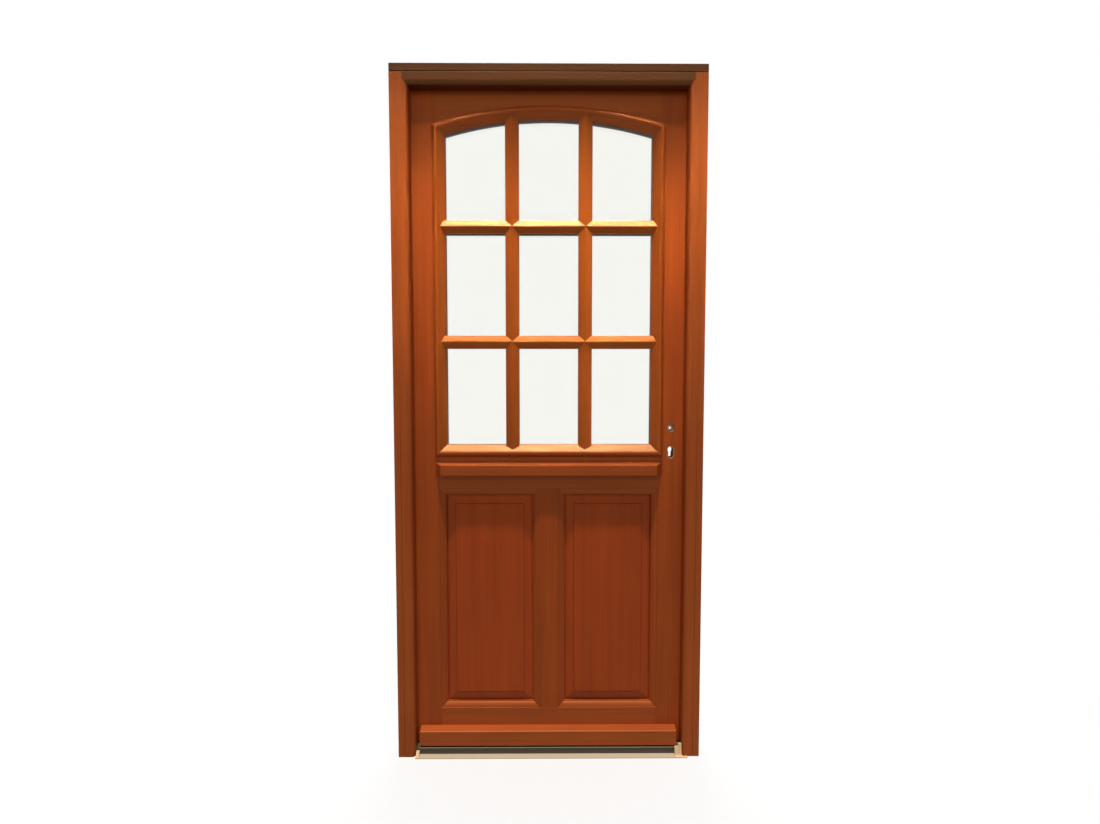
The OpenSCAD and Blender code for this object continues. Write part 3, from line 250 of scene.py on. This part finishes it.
upright_timber = varnished_timber("upright varnished timber", Z_AXIS, STILE_TONES)
level_timber = varnished_timber("level varnished timber", X_AXIS, RAIL_TONES)
lock_stile_timber = varnished_timber("bored varnished timber", Z_AXIS, STILE_TONES, bored_holes)
jamb_timber = varnished_timber("frame varnished timber, upright", Z_AXIS, JAMB_TONES)
head_shaded_timber = varnished_timber("frame varnished timber, level, painted shade", X_AXIS, HEAD_SHADED_TONES)
panel_timber = varnished_timber("varnished panel timber", Z_AXIS, PANEL_TONES)
upright_bar_timber = varnished_timber("moulded varnished timber, upright", Z_AXIS, BAR_TONES)
level_bar_timber = varnished_timber("moulded varnished timber, level", X_AXIS, BAR_TONES)
clear_glass = float_glass("clear float glass")
sill_metal = sill_painted_lit_and_shaded("extruded anodised aluminium, worn pale where it is trodden")
spacer_metal = drawn_metal("rolled aluminium spacer", "#b4b6b8", 0.38, Z_AXIS)
zinc_steel = drawn_metal("zinc plated steel", "#a9aaa8", 0.36, Z_AXIS)
bright_steel = drawn_metal("turned bright steel", "#bfc0be", 0.28, X_AXIS)
# The lock case's dark grey is partly its steel and partly painted shade, so the keyhole and spindle hole show
# dark
steel_with_painted_shade = drawn_metal("pressed steel, darkened partly with painted shade", "#4a4640", 0.55, Z_AXIS)
cast_zinc = drawn_metal("cast grey zinc", "#7f7c77", 0.5, Z_AXIS)
brass = drawn_metal("turned brass", "#c9a154", 0.30, X_AXIS)
rubber = moulded("extruded black rubber", "#151515", 0.7)
cream_plastic = moulded("moulded cream plastic", "#c9ab86", 0.5)
block_plastic = moulded("moulded blue plastic", "#3d4d70", 0.55)
# The near-black of the screw recesses is painted shade
recess_painted_shade = moulded("painted shade in the screws' cross recesses", "#1b1b1b", 0.8)
filler = moulded("dark wood filler", "#24100a", 0.8)

DRESS = {
    jamb_timber: ["hinge_jamb", "lock_jamb"],
    head_shaded_timber: ["frame_head", "head_strip"],
    lock_stile_timber: ["lock_stile"],
    upright_timber: ["hinge_stile", "muntin"],
    level_timber: ["top_rail", "lock_rail", "bottom_rail", "apron_moulding", "weatherboard",
                   "outside_bottom_moulding", "outside_arch_moulding", "inside_bottom_bead",
                   "inside_arch_bead"],
    upright_bar_timber: ["outside_left_moulding", "outside_right_moulding", "inside_left_bead",
                         "inside_right_bead", "outside_left_bar", "outside_right_bar", "inside_left_bar",
                         "inside_right_bar"],
    level_bar_timber: ["outside_lower_bar", "outside_upper_bar", "inside_lower_bar", "inside_upper_bar"],
    panel_timber: ["left_panel", "right_panel"],
    clear_glass: ["outer_glass", "inner_glass"],
    spacer_metal: ["glass_spacer"],
    sill_metal: ["threshold"],
    cream_plastic: ["threshold_end_caps"],
    block_plastic: ["setting_blocks"],
    rubber: ["threshold_seal", "hinge_side_seal", "lock_side_seal", "head_seal"],
    zinc_steel: ["strike_plate", "bottom_hinge_frame_half", "middle_hinge_frame_half", "top_hinge_frame_half",
                 "bottom_hinge_leaf_half", "middle_hinge_leaf_half", "top_hinge_leaf_half"],
    steel_with_painted_shade: ["lock_case"],
    cast_zinc: ["follower"],
    bright_steel: ["strike_screws", "hinge_pins", "hinge_frame_screws", "hinge_leaf_screws", "lock_faceplate",
                   "faceplate_screws", "latch_bolt", "deadbolt"],
    brass: ["hinge_washers"],
}
for made, names in DRESS.items():
    for name in names:
        mesh = nodes[name].data
        mesh.materials.clear()
        mesh.materials.append(made)


def solids(node):
    """Low and high corners of each loose solid of a CAD node."""
    shape = bmesh.new()
    shape.from_mesh(nodes[node].data)
    bmesh.ops.remove_doubles(shape, verts=shape.verts, dist=1e-6)
    seen, found = set(), []
    for start in shape.verts:
        if start in seen:
            continue
        seen.add(start)
        stack, group = [start], []
        while stack:
            vert = stack.pop()
            group.append(vert.co.copy())
            for edge in vert.link_edges:
                other = edge.other_vert(vert)
                if other not in seen:
                    seen.add(other)
                    stack.append(other)
        found.append((Vector(map(min, *group)), Vector(map(max, *group))))
    shape.free()
    return found


def repeat(name, points, build, made, sizes):
    """Puts the small solid that `build` makes on every point with Geometry Nodes, and keeps the plain mesh."""
    mesh = bpy.data.meshes.new(name)
    mesh.from_pydata([tuple(p) for p in points], [], [])
    piece = bpy.data.objects.new(name, mesh)
    bpy.context.scene.collection.objects.link(piece)
    tree = bpy.data.node_groups.new(name, "GeometryNodeTree")
    face = tree.interface
    face.new_socket("Geometry", in_out="INPUT", socket_type="NodeSocketGeometry")
    names = {}
    for label in sizes:
        names[label] = face.new_socket(label, in_out="INPUT", socket_type="NodeSocketFloat").identifier
    face.new_socket("Geometry", in_out="OUTPUT", socket_type="NodeSocketGeometry")
    entry = add(tree, "NodeGroupInput")
    spots = add(tree, "GeometryNodeMeshToPoints", {"Mesh": entry.outputs["Geometry"]})
    copies = add(tree, "GeometryNodeInstanceOnPoints",
                 {"Points": spots.outputs[0], "Instance": build(tree, entry)})
    real = add(tree, "GeometryNodeRealizeInstances", {0: copies.outputs[0]})
    dressed = add(tree, "GeometryNodeSetMaterial", {"Geometry": real.outputs[0], "Material": made})
    add(tree, "NodeGroupOutput", {0: dressed.outputs[0]})
    modifier = piece.modifiers.new(name, "NODES")
    modifier.node_group = tree
    for label, value in sizes.items():
        modifier[names[label]] = value
    bpy.context.view_layer.update()
    plain = bpy.data.meshes.new_from_object(piece.evaluated_get(bpy.context.evaluated_depsgraph_get()))
    piece.modifiers.clear()
    piece.data = plain
    return piece


def pin_head(tree, entry):
    """Round pin head whose axis lies along Y."""
    head = add(tree, "GeometryNodeMeshCylinder", {"Vertices": 16, "Radius": entry.outputs["Radius"],
                                                  "Depth": entry.outputs["Height"]})
    turned = add(tree, "GeometryNodeTransform", {"Geometry": head.outputs[0], "Rotation": (math.pi / 2, 0, 0)})
    return turned.outputs[0]


def cross_recess(tree, entry):
    """Cross of two thin bars that lies in a plane across X."""
    joined = add(tree, "GeometryNodeJoinGeometry")
    for y, z in (("Length", "Width"), ("Width", "Length")):
        size = add(tree, "ShaderNodeCombineXYZ", {"X": entry.outputs["Depth"], "Y": entry.outputs[y],
                                                  "Z": entry.outputs[z]})
        bar = add(tree, "GeometryNodeMeshCube", {"Size": size.outputs[0]})
        tree.links.new(bar.outputs[0], joined.inputs[0])
    return joined.outputs[0]


# Cross recesses in the heads of the countersunk screws, on the side that each head faces. They are drawn as
# thin near-black crosses whose colour is painted shade.
RECESS = {"Length": 4.2 * MM, "Width": 0.9 * MM, "Depth": 0.2 * MM}
for node, body, facing in (("hinge_frame_screws", "frame", 1), ("hinge_leaf_screws", "leaf", -1),
                           ("strike_screws", "frame", -1), ("faceplate_screws", "leaf", 1)):
    heads = []
    for low, high in solids(node):
        middle = (low + high) / 2
        heads.append(((high if facing > 0 else low)[X_AXIS], middle[Y_AXIS], middle[Z_AXIS]))
    piece = repeat(node + "_recess", heads, cross_recess, recess_painted_shade, RECESS)
    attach(piece, body)

# Pins that hold the inside beads, a hand's width apart and off the middle of the bead, towards the timber.
BEAD_PIN = {"Radius": 0.9 * MM, "Height": 1.6 * MM}
PIN_SPACING = 180 * MM
PIN_OFFSET = 6 * MM
PIN_Y = 42.2 * MM
pin_points = []
for node, axis in (("inside_left_bead", Z_AXIS), ("inside_right_bead", Z_AXIS), ("inside_bottom_bead", X_AXIS)):
    low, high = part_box(node)
    run = high[axis] - low[axis]
    count = int(run / PIN_SPACING)
    for i in range(count):
        place = (low + high) / 2
        place[axis] = low[axis] + (i + 0.5) * run / count
        place[Y_AXIS] = PIN_Y
        if axis == Z_AXIS:
            place[X_AXIS] += math.copysign(PIN_OFFSET, place[X_AXIS])
        else:
            place[Z_AXIS] -= PIN_OFFSET
        pin_points.append(place)
pins = repeat("bead_pins", pin_points, pin_head, filler, BEAD_PIN)
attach(pins, "leaf")

# Filled nail hole near the top of the hinge jamb's face.
FILLED_HOLE = {"Radius": 2.2 * MM, "Height": 0.3 * MM}
NAIL_X, NAIL_DROP = -467 * MM, 22 * MM
jamb_low, jamb_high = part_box("hinge_jamb")
nail_place = (NAIL_X, jamb_low[Y_AXIS], jamb_high[Z_AXIS] - NAIL_DROP)
nail = repeat("filled_nail_hole", [nail_place], pin_head, filler, FILLED_HOLE)
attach(nail, "frame")


def looked_at(tree):
    """1 for what the camera sees, straight, mirrored or through glass, and 0 for light on the object."""
    rays = add(tree, "ShaderNodeLightPath").outputs
    total = add(tree, "ShaderNodeMath", {0: rays["Is Camera Ray"], 1: rays["Is Glossy Ray"]}, operation="ADD")
    total = add(tree, "ShaderNodeMath", {0: total.outputs[0], 1: rays["Is Transmission Ray"]}, operation="ADD")
    return add(tree, "ShaderNodeMath", {0: total.outputs[0], 1: 1.0}, operation="MINIMUM").outputs[0]


# Matt painted floor that keeps the shadow near the door and fades to the white background, in metres.
FLOOR_REACH = 9
FADE_START, FADE_END = 0.9, 3.0
scene = bpy.context.scene
floor_mesh = bpy.data.meshes.new("floor")
floor_mesh.from_pydata([(-FLOOR_REACH, -FLOOR_REACH, 0), (FLOOR_REACH, -FLOOR_REACH, 0),
                        (FLOOR_REACH, FLOOR_REACH, 0), (-FLOOR_REACH, FLOOR_REACH, 0)], [], [(0, 1, 2, 3)])
floor = bpy.data.objects.new("floor", floor_mesh)
scene.collection.objects.link(floor)
floor_paint, floor_tree, floor_shader = material("pale studio floor", {"Roughness": 0.7})
floor_seen = looked_at(floor_tree)
floor_colour = add(floor_tree, "ShaderNodeMix", {FACTOR: floor_seen, FIRST: linear("#5c5851"),
                                                 SECOND: linear("#d5dbe4")}, data_type="RGBA")
floor_tree.links.new(floor_colour.outputs[RESULT], floor_shader.inputs["Base Color"])
floor_point = add(floor_tree, "ShaderNodeTexCoord").outputs["Object"]
floor_away = add(floor_tree, "ShaderNodeVectorMath", {0: floor_point}, operation="LENGTH").outputs["Value"]
floor_far = add(floor_tree, "ShaderNodeMapRange", {"Value": floor_away, "From Min": FADE_START,
                                                   "From Max": FADE_END}, interpolation_type="SMOOTHSTEP")
floor_fade = add(floor_tree, "ShaderNodeMath", {0: floor_far.outputs[0], 1: floor_seen}, operation="MULTIPLY")
far_white = add(floor_tree, "ShaderNodeEmission", {"Color": WHITE, "Strength": 1.0})
faded = add(floor_tree, "ShaderNodeMixShader", {0: floor_fade.outputs[0], 1: floor_shader.outputs[0],
                                                2: far_white.outputs[0]})
floor_tree.links.new(faded.outputs[0], floor_tree.get_output_node("ALL").inputs["Surface"])
floor_mesh.materials.append(floor_paint)

# World: white where it is looked at, and a weak soft light on the object.
SOFT_STRENGTH = 0.18
world = bpy.data.worlds.new("studio")
scene.world = world
world.use_nodes = True
sky = world.node_tree
sky.nodes.clear()
soft = add(sky, "ShaderNodeBackground", {"Color": linear("#f6f0e6"), "Strength": SOFT_STRENGTH})
white = add(sky, "ShaderNodeBackground", {"Color": WHITE, "Strength": 1.0})
both = add(sky, "ShaderNodeMixShader", {0: looked_at(sky), 1: soft.outputs[0], 2: white.outputs[0]})
add(sky, "ShaderNodeOutputWorld", {"Surface": both.outputs[0]})


def lamp(name, kind, energy, place, target, **settings):
    """Lamp at a place in metres that shines at a target."""
    data = bpy.data.lights.new(name, kind)
    data.energy = energy
    for key, value in settings.items():
        setattr(data, key, value)
    made = bpy.data.objects.new(name, data)
    made.location = place
    made.rotation_euler = (Vector(target) - Vector(place)).to_track_quat("-Z", "Y").to_euler()
    scene.collection.objects.link(made)
    return made


# Steep key light that draws the shadows under head and mouldings
lamp("overhead key", "SUN", 3.7, (0.0, -0.92, 5.9), (0, 0, 1.0), angle=math.radians(2.5),
     color=(1.0, 0.95, 0.86))
# Narrow warm strip on the upper leaf. Light linking keeps it off the floor.
strip = lamp("strip light", "AREA", 2.4, (0.0, -0.5, 3.3), (0, -0.03, 1.72), shape="RECTANGLE", size=1.3,
             size_y=0.05, spread=math.radians(12), color=(1.0, 0.86, 0.52))
not_lit = bpy.data.collections.new("not lit by the strip light")
not_lit.objects.link(floor)
not_lit.collection_objects[0].light_linking.link_state = "EXCLUDE"
strip.light_linking.receiver_collection = not_lit
# One softbox before the door and one behind it, which neither the camera nor the glass shows
for name, y in (("front softbox", -4.2), ("rear softbox", 4.2)):
    softbox = lamp(name, "AREA", 44, (0.0, y, 3.6), (0, 0, 1.2), shape="RECTANGLE", size=3.0, size_y=2.0,
                   color=(1.0, 0.96, 0.89))
    softbox.visible_camera = softbox.visible_glossy = softbox.visible_transmission = False

# Camera at the photograph's angle: focal length and fall of the centre in the photograph's pixels
PHOTO_WIDTH, FOCAL_PX, CENTRE_DROP = 1100, 650, 28
SENSOR_MM = 36
CAMERA_PLACE = (-0.0101, -2.0990, 1.1671)
CAMERA_TILT, CAMERA_TURN = 0.06334, 0.006587
camera_data = bpy.data.cameras.new("photo angle")
camera = bpy.data.objects.new("photo angle", camera_data)
scene.collection.objects.link(camera)
scene.camera = camera
camera_data.sensor_width = SENSOR_MM
camera_data.lens = FOCAL_PX * SENSOR_MM / PHOTO_WIDTH
camera_data.shift_y = CENTRE_DROP / PHOTO_WIDTH
camera.location = CAMERA_PLACE
camera.rotation_euler = (math.pi / 2 - CAMERA_TILT, 0.0, -CAMERA_TURN)

scene.view_settings.view_transform = "Standard"
